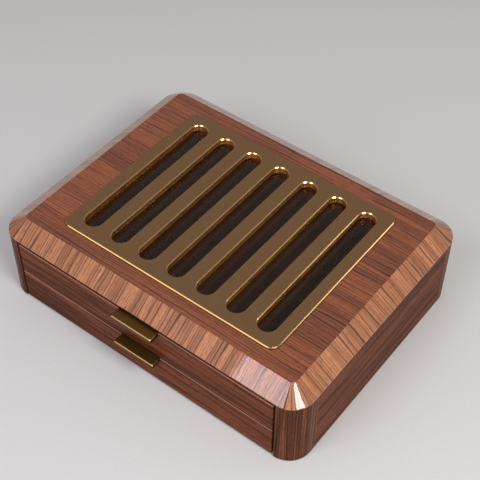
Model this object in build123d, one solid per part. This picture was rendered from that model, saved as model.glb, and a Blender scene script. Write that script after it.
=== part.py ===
from build123d import *
from math import atan2, cos, degrees, pi
import os

# Pen collector chest. A veneered case with round corner posts carries a bevelled lid board.
# A slotted brass plate is let into the lid over a pane of glass, and two drawers run below
# it on side runners, each with a lined tray that holds one pen under every slot.
# Sizes are in millimetres. X runs along the front, Y to the back and Z up, and the origin
# is on the ground under the middle of the case.

# ---- case ----
CASE_W = 300.0  # left to right, outside
CASE_D = 230.0  # front to back, outside
CASE_TOP = 80.0  # ground to the lid's flat top
CORNER_R = 20.0  # upright outer corners
WALL_T = 12.0  # side and back panels
POST_W = 20.4  # corner post, along the front
POST_D = 26.0  # corner post, along the side
TONGUE_T = 4.0  # tongue on a panel's upright edge, thickness
TONGUE_L = 4.0  # tongue, reach into the post
GLUE_GAP = 0.05  # left round every glued joint
ARRIS = 0.7  # rounding of the edges that hands meet

# ---- underside ----
FELT_T = 1.0
FELT_INSET = 4.0  # from the case's outline
BASE_T = 6.0  # base board, in a rebate of the panels
REBATE_W = 6.0
DUST_T = 3.0  # board between the drawers
HOUSING_D = 3.0  # its groove in the side and back panels

# ---- lid board ----
LID_T = 12.0
LID_LAND = 0.8  # upright edge under the bevel
BEVEL_W = 15.5  # bevel, seen from above
LID_TOP_R = 4.5  # corners of the flat top
CLEAT = 8.0  # square strips that hold the lid to the side panels

# ---- window ----
PLATE_EDGE_X = 10.75  # plate outside the first and last slot
PLATE_EDGE_Y = 10.0  # plate beyond the slots' ends
PLATE_R = 8.0
PLATE_T = 5.5
PLATE_PROUD = 1.2  # above the lid
PLATE_FIT = 0.15  # round the plate in its recess
PLATE_LAND = 5.0  # board under the plate's edge, outside the glass
RIM = 0.8  # bright bevel on the plate's edge and round each slot
SLOT_COUNT = 7
SLOT_PITCH = 29.0
SLOT_L = 151.0  # over the rim
SLOT_W = 17.5  # over the rim
GASKET_T = 0.6
GASKET_SETBACK = 0.3  # behind the slot's wall
GLASS_T = 2.0
GLASS_R = 4.0
GLASS_FIT = 0.2
GLASS_LAND = 3.0  # board under the glass's edge
TAP_DEPTH = 3.4  # blind threads in the plate's back

# ---- drawers ----
FRONT_T = 14.0
FRONT_FOOT = 2.4  # ground to the lower front
FRONT_GAP = 1.0  # between the two fronts
FRONT_LID_GAP = 3.2  # upper front to the lid
FRONT_SIDE_GAP = 1.7  # front to post
BOX_LIFT = 5.8  # front's lower edge to the sides' lower edge
BOX_DROP = 2.5  # front's upper edge to the sides' upper edge
BOX_T = 8.0  # sides and back
BACK_SPACE = 3.5  # behind a shut drawer
FRONT_CLEAR = 0.5  # boards of the case to the back of a front
BOTTOM_T = 3.0
BOTTOM_LIFT = 2.2  # sides' lower edge to the bottom board
BOTTOM_GROOVE = 4.0
TAIL_COUNT = 2
TAIL_NECK = 5.4  # a dovetail's narrow width
TAIL_L = 8.0  # into the front, which laps over it
TAIL_SLOPE = 1 / 6

# ---- runners ----
RUNNER_H = 5.0
RUNNER_LIFT = 11.2  # sides' lower edge to the runner's middle
RUNNER_DEPTH = 4.0  # groove in the drawer's side
RUN_TOP = 0.3  # running gaps over, under and beside a runner
RUN_BELOW = 0.5
RUN_SIDE = 0.4
RUNNER_LEAD = 2.0  # groove in front of a shut runner
BUMPER_R = 5.0
BUMPER_X = 90.0
BUMPER_GAP = 0.3

# ---- pen tray ----
TRAY_T = 2.0
TRAY_GAP = 0.3
TRAY_END_FRONT = 20.7  # padded bars across the ends of the grooves
TRAY_END_BACK = 11.2
RIDGE_FOOT = 13.0  # ridge between two pens
RIDGE_CREST = 8.0
RIDGE_H = 12.0
RIDGE_EDGE = 2.5  # bevel of the crest
LINING_T = 0.8
LINING_GAP = 0.05

# ---- pulls and screws ----
TAB_W = 40.0
TAB_T = 4.0
TAB_REACH = 9.2  # in front of the drawer
TAB_SEAT = 11.0  # into the drawer's front
TAB_FIT = 0.1
TAB_BEVEL = 0.7
TAB_SCREW_X = 11.0  # screws, from the middle of the plate, board or tab that they hold
PLATE_SCREW_X = 71.0
PLATE_SCREW_Y = 43.0
CLEAT_SCREW_Y = 62.0
BASE_SCREW_X = 65.0
BASE_SCREW_Y = 71.0
RUNNER_SCREW_Y = 67.0
SCREW_GAP = 0.05
SCREW_SIDES = 6  # a screw's round forms are drawn with this many flats
WOOD_SCREW = {"shank": 1.4, "head": 2.8, "cone": 1.8, "length": 16.0}
RUNNER_SCREW = {"shank": 1.4, "head": 2.8, "cone": 1.8, "length": 22.0}
PLATE_SCREW = {"shank": 1.0, "head": 1.9, "cone": 1.2}
TAB_SCREW = {"shank": 1.2, "head": 2.3, "cone": 1.3, "length": 12.0}
TIP = 1.5  # length of a screw's point
POINT_R = 0.3  # its blunt end
OVER = 1.0  # how far a cutting tool, or a joined piece, runs past the face that it crosses

# ---- levels and places that follow ----
HALF_W = CASE_W / 2
HALF_D = CASE_D / 2
LID_Z = CASE_TOP - LID_T
IN_X = HALF_W - WALL_T
IN_Y = HALF_D - WALL_T
OPEN_X = HALF_W - POST_W
POST_Y = HALF_D - POST_D
BASE_TOP = FELT_T + BASE_T
PLATE_W = (SLOT_COUNT - 1) * SLOT_PITCH + SLOT_W + 2 * PLATE_EDGE_X
PLATE_D = SLOT_L + 2 * PLATE_EDGE_Y
PLATE_Z = CASE_TOP + PLATE_PROUD - PLATE_T
GLASS_TOP = PLATE_Z - GASKET_T
GLASS_Z = GLASS_TOP - GLASS_T
GLASS_W = PLATE_W - 2 * PLATE_LAND
GLASS_D = PLATE_D - 2 * PLATE_LAND
FRONT_H = (LID_Z - FRONT_LID_GAP - FRONT_GAP - FRONT_FOOT) / 2
FRONT_X = OPEN_X - FRONT_SIDE_GAP
FRONT_BACK = -HALF_D + FRONT_T
BOX_Z = FRONT_FOOT + BOX_LIFT
BOX_TOP = FRONT_FOOT + FRONT_H - BOX_DROP
BOX_IN = FRONT_X - BOX_T
BOX_END = IN_Y - BACK_SPACE
BOX_BACK = BOX_END - BOX_T
DRAWER_STEP = FRONT_H + FRONT_GAP
DUST_Z = FRONT_FOOT + FRONT_H + (FRONT_GAP - DUST_T) / 2
RUNNER_Z = BOX_Z + RUNNER_LIFT
RUNNER_FRONT = -POST_Y + GLUE_GAP
RUNNER_BACK = POST_Y - GLUE_GAP
RUNNER_X = FRONT_X - RUNNER_DEPTH + RUN_SIDE
BOTTOM_Z = BOX_Z + BOTTOM_LIFT
TRAY_Z = BOTTOM_Z + BOTTOM_T + TRAY_T
TRAY_X = BOX_IN - TRAY_GAP
TRAY_Y = (FRONT_BACK + TRAY_GAP, BOX_BACK - TRAY_GAP)
GROOVE_Y = (TRAY_Y[0] + TRAY_END_FRONT, TRAY_Y[1] - TRAY_END_BACK)
SIDES = (-1, 1)
SLOT_XS = [(i - (SLOT_COUNT - 1) / 2) * SLOT_PITCH for i in range(SLOT_COUNT)]


def block(x, y, z):
    """Rectangular solid between three (low, high) pairs."""
    centre = [(low + high) / 2 for low, high in (x, y, z)]
    return Pos(*centre) * Box(x[1] - x[0], y[1] - y[0], z[1] - z[0])


def around(centre, half):
    """The (low, high) pair that reaches half to each side of a centre."""
    return (centre - half, centre + half)


def slab(width, depth, radius, z):
    """Level plate with rounded corners, centred on the case."""
    return Pos(0, 0, z[0]) * extrude(RectangleRounded(width, depth, radius), z[1] - z[0])


def screw_part(z, radii):
    """Many-sided bar along Z, its corners on one circle at its start and another at its end."""
    height = z[1] - z[0]
    lean = degrees(atan2((radii[0] - radii[1]) * cos(pi / SCREW_SIDES), height))
    return extrude(Pos(0, 0, z[0]) * RegularPolygon(radii[0], SCREW_SIDES), height, taper=lean)


def screw(shank, head, cone, length, grow=0.0):
    """Countersunk screw along +Z with its flat head at the origin. grow gives its hole."""
    radius = shank + grow
    body = screw_part((-grow, cone), (head + grow, radius))
    body = body + screw_part((cone, length - TIP), (radius, radius))
    return body + screw_part((length - TIP, length + grow), (radius, POINT_R))


def set_screws(places, spec):
    """The screws at some places, and the holes that they need."""
    screws = [place * screw(**spec) for place in places]
    holes = [place * screw(**spec, grow=SCREW_GAP) for place in places]
    return screws, holes


def cut(solid, tools):
    """A solid with every tool taken out of it."""
    for tool in tools:
        solid = solid - tool
    return solid


# ---- lid and window ----


def slots(width, length, z):
    """The row of round-ended slots as solids between two levels."""
    shape = Sketch() + [Pos(x, 0) * SlotOverall(length, width, rotation=90) for x in SLOT_XS]
    return Pos(0, 0, z[0]) * extrude(shape, z[1] - z[0])


def plate_screw_places():
    """Under the plate's edge: three along the front and back, two along each side."""
    x_edge = (PLATE_W - PLATE_LAND) / 2
    y_edge = (PLATE_D - PLATE_LAND) / 2
    spots = [(x, side * y_edge) for side in SIDES for x in (-PLATE_SCREW_X, 0, PLATE_SCREW_X)]
    spots += [(side * x_edge, y) for side in SIDES for y in (-PLATE_SCREW_Y, PLATE_SCREW_Y)]
    return [Pos(x, y, LID_Z) for x, y in spots]


def make_window_plate(screw_holes):
    plate = slab(PLATE_W, PLATE_D, PLATE_R, (PLATE_Z, PLATE_Z + PLATE_T))
    through = (PLATE_Z - OVER, PLATE_Z + PLATE_T + OVER)
    plate = plate - slots(SLOT_W - 2 * RIM, SLOT_L - 2 * RIM, through)
    plate = chamfer(plate.faces().sort_by(Axis.Z)[-1].edges(), RIM)
    return cut(plate, screw_holes)


def make_window_gasket():
    sheet = slab(GLASS_W - 2 * GLASS_FIT, GLASS_D - 2 * GLASS_FIT, GLASS_R, (GLASS_TOP, PLATE_Z))
    bore = 2 * (GASKET_SETBACK - RIM)
    return sheet - slots(SLOT_W + bore, SLOT_L + bore, (GLASS_TOP - OVER, PLATE_Z + OVER))


def make_window_glass():
    return slab(GLASS_W - 2 * GLASS_FIT, GLASS_D - 2 * GLASS_FIT, GLASS_R, (GLASS_Z, GLASS_TOP))


def make_top_board(screw_holes):
    """Board whose four bevels turn the corners as cones, stepped inside for plate and glass."""
    land = slab(CASE_W, CASE_D, CORNER_R, (LID_Z, LID_Z + LID_LAND))
    foot = Pos(0, 0, LID_Z + LID_LAND) * RectangleRounded(CASE_W, CASE_D, CORNER_R)
    flat_top = RectangleRounded(CASE_W - 2 * BEVEL_W, CASE_D - 2 * BEVEL_W, LID_TOP_R)
    board = land + loft([foot, Pos(0, 0, CASE_TOP) * flat_top], ruled=True)
    board = fillet(board.faces().sort_by(Axis.Z)[-1].edges(), ARRIS)
    over = CASE_TOP + OVER
    plate_w = PLATE_W + 2 * PLATE_FIT
    plate_d = PLATE_D + 2 * PLATE_FIT
    board = board - slab(plate_w, plate_d, PLATE_R + PLATE_FIT, (PLATE_Z, over))
    board = board - slab(GLASS_W, GLASS_D, GLASS_R + GLASS_FIT, (GLASS_Z, over))
    through_w = GLASS_W - 2 * GLASS_LAND
    through_d = GLASS_D - 2 * GLASS_LAND
    board = board - slab(through_w, through_d, GLASS_R, (LID_Z - OVER, over))
    return cut(board, screw_holes)


def cleat_screw_places():
    """Up through the cleats into the lid board."""
    spots = [(side * (IN_X - CLEAT / 2), y) for side in SIDES for y in (-1, 0, 1)]
    return [Pos(x, y * CLEAT_SCREW_Y, LID_Z - CLEAT) for x, y in spots]


def make_top_cleat(side, screw_holes):
    x = sorted((side * (IN_X - CLEAT), side * IN_X))
    cleat = block(x, around(0, POST_Y - GLUE_GAP), (LID_Z - CLEAT, LID_Z))
    return cut(cleat, screw_holes)


# ---- case ----


def case_core(z):
    """The case's outline, filled, between two levels."""
    return slab(CASE_W, CASE_D, CORNER_R, z)


def side_tongue(side, end, grow=0.0):
    """Tongue on a side panel's upright edge, in the middle of its thickness."""
    x = around(side * (IN_X + WALL_T / 2), TONGUE_T / 2 + grow)
    y = sorted((end * (POST_Y - OVER), end * (POST_Y + TONGUE_L + grow)))
    return block(x, y, (FELT_T, LID_Z))


def back_tongue(side, grow=0.0):
    """Tongue on the back panel's upright edge."""
    x = sorted((side * (OPEN_X - OVER), side * (OPEN_X + TONGUE_L + grow)))
    return block(x, around(IN_Y + WALL_T / 2, TONGUE_T / 2 + grow), (FELT_T, LID_Z))


def make_post(side, end):
    """Corner post, cut from the case's outline and grooved for the panels that it holds."""
    x = sorted((side * OPEN_X, side * (HALF_W + OVER)))
    y = sorted((end * POST_Y, end * (HALF_D + OVER)))
    post = case_core((FELT_T, LID_Z)) & block(x, y, (FELT_T, LID_Z))
    post = post - side_tongue(side, end, GLUE_GAP)
    if end > 0:
        return post - back_tongue(side, GLUE_GAP)
    mouth = post.edges().filter_by(Axis.Z).sort_by_distance((side * OPEN_X, -HALF_D, LID_Z / 2))
    return fillet(mouth[0], ARRIS)


def board_reach():
    """Grooves for the dust board and the rebate for the base board, as one tool."""
    dust = (DUST_Z - GLUE_GAP, DUST_Z + DUST_T + GLUE_GAP)
    base = (0, BASE_TOP + GLUE_GAP)
    tool = block(around(0, IN_X + HOUSING_D), (-POST_Y - OVER, IN_Y + HOUSING_D), dust)
    return tool + block(around(0, IN_X + REBATE_W), (-POST_Y - OVER, IN_Y + REBATE_W), base)


def make_side_panel(side, screw_holes):
    x = sorted((side * IN_X, side * HALF_W))
    panel = block(x, around(0, POST_Y - GLUE_GAP), (FELT_T, LID_Z))
    for end in SIDES:
        panel = panel + side_tongue(side, end)
    return cut(panel, [board_reach(), *screw_holes])


def make_back_panel(screw_holes):
    panel = block(around(0, OPEN_X - GLUE_GAP), (IN_Y, HALF_D), (FELT_T, LID_Z))
    for side in SIDES:
        panel = panel + back_tongue(side)
    return cut(panel, [board_reach(), *screw_holes])


def make_level_board(z, reach):
    """Board that fills the case, notched round the posts and run on between the front ones."""
    reach = reach - GLUE_GAP
    between = around(0, OPEN_X - GLUE_GAP)
    board = block(around(0, IN_X + reach), around(0, POST_Y - GLUE_GAP), z)
    board = board + block(between, (FRONT_BACK + FRONT_CLEAR, 0), z)
    return board + block(between, (0, IN_Y + reach), z)


def base_screw_places():
    """Up through the rebated edge of the base board into the panels."""
    x_edge = IN_X + REBATE_W / 2
    spots = [(side * x_edge, y) for side in SIDES for y in (-BASE_SCREW_Y, 0, BASE_SCREW_Y)]
    spots += [(x, IN_Y + REBATE_W / 2) for x in (-BASE_SCREW_X, BASE_SCREW_X)]
    return [Pos(x, y, FELT_T) for x, y in spots]


def make_base_felt():
    """Cloth under the posts and the base board, cut back where the lower front hangs."""
    inset = 2 * FELT_INSET
    sheet = slab(CASE_W - inset, CASE_D - inset, CORNER_R - FELT_INSET, (0, FELT_T))
    notch_y = (-HALF_D, FRONT_BACK + FRONT_CLEAR)
    return sheet - block(around(0, OPEN_X), notch_y, (-OVER, FELT_T + OVER))


# ---- runners ----


def runner_screw_places(side, z):
    """From a runner's inner face out into the side panel."""
    out = Rot(0, 90 * side, 0)
    return [Pos(side * RUNNER_X, y, z) * out for y in (-RUNNER_SCREW_Y, RUNNER_SCREW_Y)]


def make_runner(side, z, screw_holes):
    x = sorted((side * RUNNER_X, side * IN_X))
    runner = block(x, (RUNNER_FRONT, RUNNER_BACK), around(z, RUNNER_H / 2))
    return cut(runner, screw_holes)


def runner_groove(side):
    """Space that a runner slides in, open at the drawer's back."""
    x = sorted((side * (FRONT_X - RUNNER_DEPTH), side * (FRONT_X + OVER)))
    z = (RUNNER_Z - RUNNER_H / 2 - RUN_BELOW, RUNNER_Z + RUNNER_H / 2 + RUN_TOP)
    return block(x, (RUNNER_FRONT - RUNNER_LEAD, BOX_END + OVER), z)


def make_bumpers():
    """Two soft stops a drawer on the inside of the back panel."""
    length = BACK_SPACE - BUMPER_GAP
    stop = Cylinder(BUMPER_R, length)
    turn = Rot(90, 0, 0)
    y = IN_Y - length / 2
    mid_z = (BOX_Z + BOX_TOP) / 2
    levels = (mid_z, mid_z + DRAWER_STEP)
    return [Pos(side * BUMPER_X, y, z) * turn * stop for side in SIDES for z in levels]


# ---- drawer, drawn in the lower place ----


def tails(side, end, grow=0.0):
    """Dovetails at one end of a drawer side: wedges that widen away from the shoulder."""
    shoulder, length = (FRONT_BACK, TAIL_L) if end < 0 else (BOX_BACK, BOX_T)
    step = (BOX_TOP - BOX_Z) / TAIL_COUNT
    wedge = TAIL_NECK / 2 + grow
    flare = wedge + length * TAIL_SLOPE
    shapes = []
    for i in range(TAIL_COUNT):
        z = BOX_Z + (i + 0.5) * step
        tip = shoulder + end * (length + grow)
        root = shoulder - end * OVER
        points = [
            (root, z - wedge),
            (shoulder, z - wedge),
            (tip, z - flare),
            (tip, z + flare),
            (shoulder, z + wedge),
            (root, z + wedge),
        ]
        shapes.append(make_face(Polyline(*points, close=True)))
    inner = BOX_IN - grow if side > 0 else -FRONT_X
    width = BOX_T + grow
    return [Pos(inner, 0, 0) * extrude(Plane.YZ * shape, width, dir=(1, 0, 0)) for shape in shapes]


def bottom_room(grow=0.0):
    """The drawer's bottom board, or with grow the grooves that it sits in."""
    reach = BOTTOM_GROOVE - GLUE_GAP + grow
    y = (FRONT_BACK - reach, BOX_BACK + reach)
    return block(around(0, BOX_IN + reach), y, (BOTTOM_Z - grow, BOTTOM_Z + BOTTOM_T + grow))


def make_drawer_side(side):
    x = sorted((side * BOX_IN, side * FRONT_X))
    panel = block(x, (FRONT_BACK, BOX_BACK), (BOX_Z, BOX_TOP))
    for end in SIDES:
        for tail in tails(side, end):
            panel = panel + tail
    return panel - runner_groove(side) - bottom_room(GLUE_GAP)


def make_drawer_back():
    panel = block(around(0, FRONT_X), (BOX_BACK, BOX_END), (BOX_Z, BOX_TOP))
    for side in SIDES:
        panel = cut(panel, tails(side, 1, GLUE_GAP)) - runner_groove(side)
    return panel - bottom_room(GLUE_GAP)


def make_drawer_front(screw_holes):
    top = FRONT_FOOT + FRONT_H
    front = block(around(0, FRONT_X), (-HALF_D, FRONT_BACK), (FRONT_FOOT, top))
    front = fillet(front.faces().sort_by(Axis.Y)[0].edges(), ARRIS)
    for side in SIDES:
        front = cut(front, tails(side, -1, GLUE_GAP))
    front = front - bottom_room(GLUE_GAP)
    seat_y = (-HALF_D - OVER, -HALF_D + TAB_SEAT + TAB_FIT)
    front = front - block(around(0, TAB_W / 2 + TAB_FIT), seat_y, (top - TAB_T, top + OVER))
    return cut(front, screw_holes)


def tab_screw_places():
    """Down through the tab's hidden half into the front's top edge."""
    flip = Rot(180, 0, 0)
    y = -HALF_D + TAB_SEAT / 2
    return [Pos(side * TAB_SCREW_X, y, FRONT_FOOT + FRONT_H) * flip for side in SIDES]


def make_pull_tab(screw_holes):
    """Flat bar let into the front's top edge, its three free upper edges bevelled."""
    top = FRONT_FOOT + FRONT_H
    y = (-HALF_D - TAB_REACH, -HALF_D + TAB_SEAT)
    tab = block(around(0, TAB_W / 2), y, (top - TAB_T, top))
    upper = tab.faces().sort_by(Axis.Z)[-1].edges().sort_by(Axis.Y)[:-1]
    return cut(chamfer(upper, TAB_BEVEL), screw_holes)


def ridge_outline(foot, crest):
    """Cross-section of a padded ridge: feet apart, crest bevelled."""
    points = [
        (foot[0], TRAY_Z),
        (foot[1], TRAY_Z),
        (crest[1], TRAY_Z + RIDGE_H),
        (crest[0], TRAY_Z + RIDGE_H),
    ]
    face = make_face(Polyline(*points, close=True))
    shoulders = face.vertices().sort_by(Axis.Y)[-2:]
    return chamfer(shoulders, RIDGE_EDGE)


def ridge_outlines():
    """Ridges from wall to wall, with a pen's groove under the middle of every slot."""
    lean = (RIDGE_FOOT - RIDGE_CREST) / 2
    trough = (SLOT_PITCH - RIDGE_FOOT) / 2
    lows = [-TRAY_X] + [x + trough for x in SLOT_XS]
    highs = [x - trough for x in SLOT_XS] + [TRAY_X]
    outlines = []
    for i, foot in enumerate(zip(lows, highs)):
        left = foot[0] + (lean if i > 0 else 0)
        right = foot[1] - (lean if i < SLOT_COUNT else 0)
        outlines.append(ridge_outline(foot, (left, right)))
    return outlines


def along(face, y):
    """A cross-section drawn in X and Z, carried along Y between two places."""
    return Pos(0, y[0], 0) * extrude(Plane.XZ * face, y[1] - y[0], dir=(0, 1, 0))


def make_tray_base():
    return block(around(0, TRAY_X), TRAY_Y, (TRAY_Z - TRAY_T, TRAY_Z))


def make_tray_ends():
    """Padded bars across both ends of the grooves."""
    bars = []
    for y in ((TRAY_Y[0], GROOVE_Y[0]), (GROOVE_Y[1], TRAY_Y[1])):
        bar = block(around(0, TRAY_X), y, (TRAY_Z, TRAY_Z + RIDGE_H + LINING_T))
        long_edges = bar.faces().sort_by(Axis.Z)[-1].edges().filter_by(Axis.X)
        bars.append(chamfer(long_edges, RIDGE_EDGE))
    return bars


def make_tray_ridges():
    return [along(face, GROOVE_Y) for face in ridge_outlines()]


def make_tray_lining():
    """Cloth that follows the floors and ridges at an even thickness."""
    ridges = Sketch() + ridge_outlines()
    floor = Pos(0, TRAY_Z + LINING_T / 2) * Rectangle(2 * TRAY_X, LINING_T)
    cloth = offset(ridges, LINING_T, kind=Kind.INTERSECTION) + floor
    tall = RIDGE_H + 2 * LINING_T
    room = Pos(0, TRAY_Z + tall / 2) * Rectangle(2 * TRAY_X, tall)
    cloth = (cloth & room) - offset(ridges, LINING_GAP, kind=Kind.INTERSECTION)
    return along(cloth, (GROOVE_Y[0] + LINING_GAP, GROOVE_Y[1] - LINING_GAP))


# ---- assembly ----


def case_nodes():
    lifts = (("lower", 0.0), ("upper", DRAWER_STEP))
    hands = (("left", -1), ("right", 1))
    ends = (("front", -1), ("back", 1))
    plate_spec = PLATE_SCREW | {"length": PLATE_Z + TAP_DEPTH - LID_Z}
    plate_screws, plate_holes = set_screws(plate_screw_places(), plate_spec)
    top_screws, top_holes = set_screws(cleat_screw_places(), WOOD_SCREW)
    base_screws, base_holes = set_screws(base_screw_places(), WOOD_SCREW)
    nodes = {
        "top_board": make_top_board(plate_holes + top_holes),
        "window_plate": make_window_plate(plate_holes),
        "window_gasket": make_window_gasket(),
        "window_glass": make_window_glass(),
        "plate_screws": plate_screws,
        "top_screws": top_screws,
        "base_screws": base_screws,
        "back_panel": make_back_panel(base_holes),
        "base_board": cut(make_level_board((FELT_T, BASE_TOP), REBATE_W), base_holes),
        "dust_board": make_level_board((DUST_Z, DUST_Z + DUST_T), HOUSING_D),
        "base_felt": make_base_felt(),
        "drawer_bumpers": make_bumpers(),
    }
    runner_screws = []
    for hand, side in hands:
        panel_holes = list(base_holes)
        for level, lift in lifts:
            z = RUNNER_Z + lift
            screws, holes = set_screws(runner_screw_places(side, z), RUNNER_SCREW)
            nodes[f"{level}_runner_{hand}"] = make_runner(side, z, holes)
            runner_screws += screws
            panel_holes += holes
        nodes[f"{hand}_side"] = make_side_panel(side, panel_holes)
        nodes[f"top_cleat_{hand}"] = make_top_cleat(side, top_holes)
        for place, end in ends:
            nodes[f"{place}_{hand}_post"] = make_post(side, end)
    nodes["runner_screws"] = runner_screws
    return nodes


def drawer_nodes():
    screws, holes = set_screws(tab_screw_places(), TAB_SCREW)
    return {
        "front": make_drawer_front(holes),
        "side_left": make_drawer_side(-1),
        "side_right": make_drawer_side(1),
        "back": make_drawer_back(),
        "bottom": bottom_room(),
        "tray_base": make_tray_base(),
        "tray_ridges": make_tray_ridges(),
        "tray_ends": make_tray_ends(),
        "tray_lining": make_tray_lining(),
        "pull_tab": make_pull_tab(holes),
        "pull_screws": screws,
    }


def write(name, shape, lift=0.0):
    solids = shape if isinstance(shape, list) else [shape]
    moved = [Pos(0, 0, lift) * solid for piece in solids for solid in piece.solids()]
    model = moved[0] if len(moved) == 1 else Compound(children=moved)
    model.label = name
    export_step(model, f"parts/{name}.step")


os.makedirs("parts", exist_ok=True)
for node, shape in case_nodes().items():
    write(node, shape)
for node, shape in drawer_nodes().items():
    write(f"lower_{node}", shape)
    write(f"upper_{node}", shape, DRAWER_STEP)
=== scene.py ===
"""Pen collector chest: walnut veneer under lacquer, a slotted brass window in the lid and two drawers."""

from math import cos, pi, radians, sin

import bmesh
import bpy
import numpy as np
from bpy.props import FloatProperty, FloatVectorProperty, IntProperty, PointerProperty
from mathutils import Matrix, Vector


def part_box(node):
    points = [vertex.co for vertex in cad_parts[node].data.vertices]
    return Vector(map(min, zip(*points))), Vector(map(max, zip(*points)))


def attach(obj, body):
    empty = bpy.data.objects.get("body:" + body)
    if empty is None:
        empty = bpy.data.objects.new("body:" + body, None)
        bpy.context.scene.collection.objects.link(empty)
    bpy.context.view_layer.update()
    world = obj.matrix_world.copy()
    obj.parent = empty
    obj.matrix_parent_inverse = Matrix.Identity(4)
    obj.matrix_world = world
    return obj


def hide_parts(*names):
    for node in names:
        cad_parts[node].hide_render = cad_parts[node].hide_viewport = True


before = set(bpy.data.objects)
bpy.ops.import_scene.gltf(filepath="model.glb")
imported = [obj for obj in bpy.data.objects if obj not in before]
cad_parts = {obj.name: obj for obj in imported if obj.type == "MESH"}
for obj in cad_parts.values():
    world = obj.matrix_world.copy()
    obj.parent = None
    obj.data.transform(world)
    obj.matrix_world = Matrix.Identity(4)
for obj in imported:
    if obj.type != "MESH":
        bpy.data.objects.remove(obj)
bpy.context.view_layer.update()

bl_info = {
    "name": "Pen collector chest",
    "version": (1, 0, 0),
    "blender": (4, 5, 0),
    "location": "View3D > Sidebar > Pen Chest",
    "description": "Builds the visible pieces and finishes of a two-drawer pen collector chest",
    "category": "Add Mesh",
}

MM = 0.001
LEVELS = ("lower", "upper")
HANDS = ("left", "right")


def linear(code):
    """sRGB hex code as linear red, green and blue."""
    srgb = np.array([int(code[i : i + 2], 16) for i in (1, 3, 5)]) / 255
    low, high = srgb / 12.92, ((srgb + 0.055) / 1.055) ** 2.4
    return tuple(float(value) for value in np.where(srgb <= 0.04045, low, high))


def size(name, millimetres, description):
    """A length that a user may change, held in metres."""
    return FloatProperty(
        name=name, description=description, default=millimetres * MM, min=0.0, unit="LENGTH", precision=5
    )


def tint(name, code, description):
    """A colour that a user may change, given as an sRGB hex code."""
    return FloatVectorProperty(
        name=name, description=description, default=linear(code), subtype="COLOR", size=3, min=0, max=1
    )


def power(name, watts, description):
    """A lamp's power that a user may change."""
    return FloatProperty(name=name, description=description, default=watts, min=0, unit="POWER")


# ---- sizes and colours that a user may change ----


class ChestWood(bpy.types.PropertyGroup):
    """Tones of the veneers and boards"""

    top_light: tint("Top light", "#A4562F", "Pale bands of the lid's top veneer")
    top_base: tint("Top base", "#864322", "Main tone of the lid's top veneer")
    top_dark: tint("Top dark", "#220D07", "Growth lines of the lid's top veneer")
    band_light: tint("Banding light", "#CE8558", "Pale parts of the cross-banded bevels")
    band_base: tint("Banding base", "#AC683F", "Main tone of the cross-banded bevels")
    band_dark: tint("Banding dark", "#33150B", "Growth lines of the cross-banded bevels")
    side_light: tint("Side light", "#8C4E33", "Pale bands of the sides and fronts")
    side_base: tint("Side base", "#663622", "Main tone of the sides and fronts")
    side_dark: tint("Side dark", "#1F0B06", "Growth lines of the sides and fronts")
    # The arris tone is a painted highlight, drawn just under the top edge of each drawer front.
    arris: tint("Arris", "#D8AE98", "Sanded upper edge of the drawer fronts")
    birch: tint("Birch", "#D9BE94", "Boards, drawer bottoms and tray bases")
    birch_line: tint("Birch line", "#BE9A6A", "Lines in the birch")
    beech: tint("Beech", "#C99A6C", "Runners and cleats")
    beech_line: tint("Beech line", "#A97848", "Lines in the beech")


class ChestMetal(bpy.types.PropertyGroup):
    """Tones of the metals, the seal and the rubber"""

    brass: tint("Satin brass", "#B08863", "Blasted top of the window plate")
    rim: tint("Polished brass", "#DDB074", "Bright edges of the window plate")
    wall: tint("Slot walls", "#C48A50", "Milled walls of the slots")
    bronze: tint("Brushed bronze", "#7E5E2C", "Pulls and their screws")
    steel: tint("Screw steel", "#8C8C90", "Screws")
    gasket: tint("Gasket", "#0C0B0B", "Seal under the window plate")
    bumper: tint("Bumper", "#1A1817", "Drawer stops")


class ChestCloth(bpy.types.PropertyGroup):
    """Tones of the cloths"""

    velvet: tint("Velvet", "#57392F", "Pen tray pile, lit")
    velvet_deep: tint("Velvet deep", "#3A241D", "Pen tray pile, in its folds")
    felt: tint("Felt", "#2B2624", "Felt under the base")


class ChestLid(bpy.types.PropertyGroup):
    """Lid board, in the same sizes as its CAD solid"""

    corner: size("Corner radius", 20.0, "Upright corner of the case")
    land: size("Land", 0.8, "Upright edge under the bevel")
    bevel: size("Bevel", 15.5, "Width of the bevel seen from above")
    arris: size("Arris", 0.7, "Rounding between bevel and top")
    fit: size("Plate fit", 0.15, "Gap round the window plate")
    glass_step: size("Glass step", 5.0, "Board under the plate outside the glass")
    glass_corner: size("Glass corner", 4.2, "Corner of the step that takes the glass")
    opening_step: size("Opening step", 3.0, "Board under the glass")
    opening_corner: size("Opening corner", 4.0, "Corner of the opening")


class ChestWindow(bpy.types.PropertyGroup):
    """Window plate, in the same sizes as its CAD solid"""

    corner: size("Corner radius", 8.0, "Corner of the plate")
    rim: size("Rim", 0.8, "Bright bevel of the edges")
    pitch: size("Slot pitch", 29.0, "Middle of a slot to the next")
    slot_length: size("Slot length", 151.0, "Over the rim")
    slot_width: size("Slot width", 17.5, "Over the rim")
    slots: IntProperty(name="Slots", description="Number of slots", default=7, min=1)


class ChestPull(bpy.types.PropertyGroup):
    """Pull tabs and their screws"""

    bevel: size("Bevel", 0.7, "Bright bevel on the free edges")
    screw_head: size("Screw head", 2.3, "Radius of a countersunk head")
    screw_spread: size("Screw spread", 11.0, "Middle of the tab to a screw")
    screw_back: size("Screw back", 5.5, "Screw to the tab's inner edge")


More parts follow.
